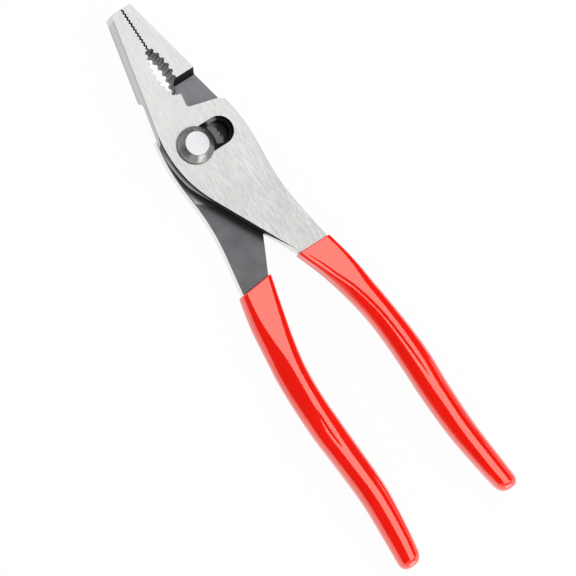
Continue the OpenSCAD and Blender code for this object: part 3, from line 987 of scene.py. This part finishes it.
class PLIERS_OT_grips(bpy.types.Operator):
    """Build the two dipped grips"""

    bl_idname = "pliers.grips"
    bl_label = "Dipped grips"

    def execute(self, context):
        s = context.scene.pliers_grips
        steel = context.scene.pliers_steel
        red = red_dip(s)
        base = np.array([0.0, steel.jaw_y, steel.mid_z])
        jobs = [
            ("front", FRONT_LINE, FRONT_CROWN, s.front_mouth, s.front_reach, 0.0, 1.0),
            ("rear", REAR_LINE, REAR_CROWN, s.rear_mouth, s.rear_reach, s.rear_lean, -1.0),
        ]
        for body, line, crown, mouth, reach, lean, side in jobs:
            points = grip_points(line, crown, mouth, reach, lean, side, s)
            mesh = grid_mesh(body + "_grip_dip", points * np.array([1.0, side, side]) + base)
            mesh.materials.append(red)
            piece_of(body + "_grip_dip", mesh, body, body + "_grip")
        return {"FINISHED"}


def add_floor(scene, settings):
    """Square floor just under the part."""
    reach = 3.0
    drop = 0.02 * MM
    corners = [
        (-reach, -reach, -drop), (reach, -reach, -drop), (reach, reach, -drop), (-reach, reach, -drop),
    ]
    mesh = bpy.data.meshes.new("floor")
    mesh.from_pydata(corners, [], [[0, 1, 2, 3]])
    mesh.materials.append(floor_sheet(settings))
    floor = bpy.data.objects.new("floor", mesh)
    scene.collection.objects.link(floor)


def add_lamp(scene, name, power, size, place, aim):
    """Rectangular lamp at a place, turned by angles about X, Y and Z."""
    data = bpy.data.lights.new(name, "AREA")
    data.shape = "RECTANGLE"
    data.energy = power
    data.size, data.size_y = size
    lamp = bpy.data.objects.new(name, data)
    lamp.location = place
    lamp.rotation_euler = [math.radians(angle) for angle in aim]
    scene.collection.objects.link(lamp)


def add_surroundings(scene, settings):
    """World that is white to the camera, even light to matt surfaces and a room to mirrors.

    The room has a dark ceiling, walls that are brighter low down and towards the handles' end, bright
    end walls, and a bright band low on the near side.
    """
    scene.world = bpy.data.worlds.new("surroundings")
    s = Sheet(scene.world)
    seen = s.add("ShaderNodeLightPath", out="Is Camera Ray")
    mirrored = s.add("ShaderNodeLightPath", out="Is Glossy Ray")
    way = s.add("ShaderNodeTexCoord", out="Generated")
    ahead = s.axis("X", way)
    across = s.axis("Y", way)
    up = s.axis("Z", way)
    walls = s.fall(up, 0.05, 0.55) * (settings.walls + s.rise(ahead, 0.2, 0.9, 0.0, 0.6))
    near = s.fall(up, 0.0, 0.13) * s.rise(across, -0.8, -0.3, 0.9, 0.0)
    ends = s.rise(s.gap(ahead, 0.0), 0.3, 0.65) * s.rise(up, 0.1, 0.3, 0.0, settings.ends)
    room = settings.ceiling + near + ends + walls
    strength = settings.fill + seen * (1.0 - settings.fill) + mirrored * (room - settings.fill)
    light = s.add("ShaderNodeBackground", sockets={"Color": WHITE, "Strength": strength})
    s.add("ShaderNodeOutputWorld", sockets={"Surface": light})


def add_camera(scene, settings):
    """Camera at a place, turned by its right, up and back directions."""
    data = bpy.data.cameras.new("camera")
    data.sensor_width = 36.0
    data.lens = settings.lens
    data.clip_start = 0.01
    data.clip_end = 20.0
    place = (0.0947, -0.4345, 1.4429)
    right = (0.54944, 0.80336, 0.22963)
    up = (-0.83515, 0.51972, 0.18004)
    back = (0.0253, -0.2907, 0.95648)
    turn = Matrix((right, up, back)).transposed()
    camera = bpy.data.objects.new("camera", data)
    camera.matrix_world = Matrix.Translation(place) @ turn.to_4x4()
    scene.collection.objects.link(camera)
    scene.camera = camera


class PLIERS_OT_stage(bpy.types.Operator):
    """Build the floor, lamps, surroundings and camera"""

    bl_idname = "pliers.stage"
    bl_label = "Stage"

    def execute(self, context):
        scene = context.scene
        settings = scene.pliers_stage
        # Name, power, size, place, and the angles of the turn about X, Y and Z
        lamps = [
            ("softbox", settings.key, (1.5, 0.6), (0.05, 0.21, 0.93), (-12.5, 0.0, 0.0)),
            ("side", settings.side, (0.88, 0.15), (0.575, 0.69, 0.245), (-71.0, 0.0, 0.0)),
            ("card", settings.card, (0.3, 0.6), (0.95, 0.05, 0.14), (0.0, 82.0, 0.0)),
        ]
        add_floor(scene, settings)
        for name, power, size, place, aim in lamps:
            add_lamp(scene, name, power, size, place, aim)
        add_surroundings(scene, settings)
        add_camera(scene, settings)
        scene.view_settings.view_transform = "Standard"
        return {"FINISHED"}


class PLIERS_PT_panel(bpy.types.Panel):
    """Sidebar panel with the pieces, their sizes and colours"""

    bl_label = "Pliers"
    bl_idname = "PLIERS_PT_panel"
    bl_space_type = "VIEW_3D"
    bl_region_type = "UI"
    bl_category = "Pliers"

    def draw(self, context):
        for operator, name, group in STEPS:
            box = self.layout.box()
            box.operator(operator.bl_idname)
            for key in group.__annotations__:
                box.prop(getattr(context.scene, name), key)


STEPS = [
    (PLIERS_OT_halves, "pliers_steel", SteelSettings),
    (PLIERS_OT_pivot, "pliers_pivot", PivotSettings),
    (PLIERS_OT_grips, "pliers_grips", GripSettings),
    (PLIERS_OT_stage, "pliers_stage", StageSettings),
]


def register():
    for operator, name, group in STEPS:
        bpy.utils.register_class(group)
        setattr(bpy.types.Scene, name, PointerProperty(type=group))
        bpy.utils.register_class(operator)
    bpy.utils.register_class(PLIERS_PT_panel)


def unregister():
    bpy.utils.unregister_class(PLIERS_PT_panel)
    for operator, name, group in reversed(STEPS):
        bpy.utils.unregister_class(operator)
        delattr(bpy.types.Scene, name)
        bpy.utils.unregister_class(group)


def main():
    register()
    bpy.ops.pliers.halves()
    bpy.ops.pliers.pivot()
    bpy.ops.pliers.grips()
    bpy.ops.pliers.stage()


if __name__ == "__main__":
    main()
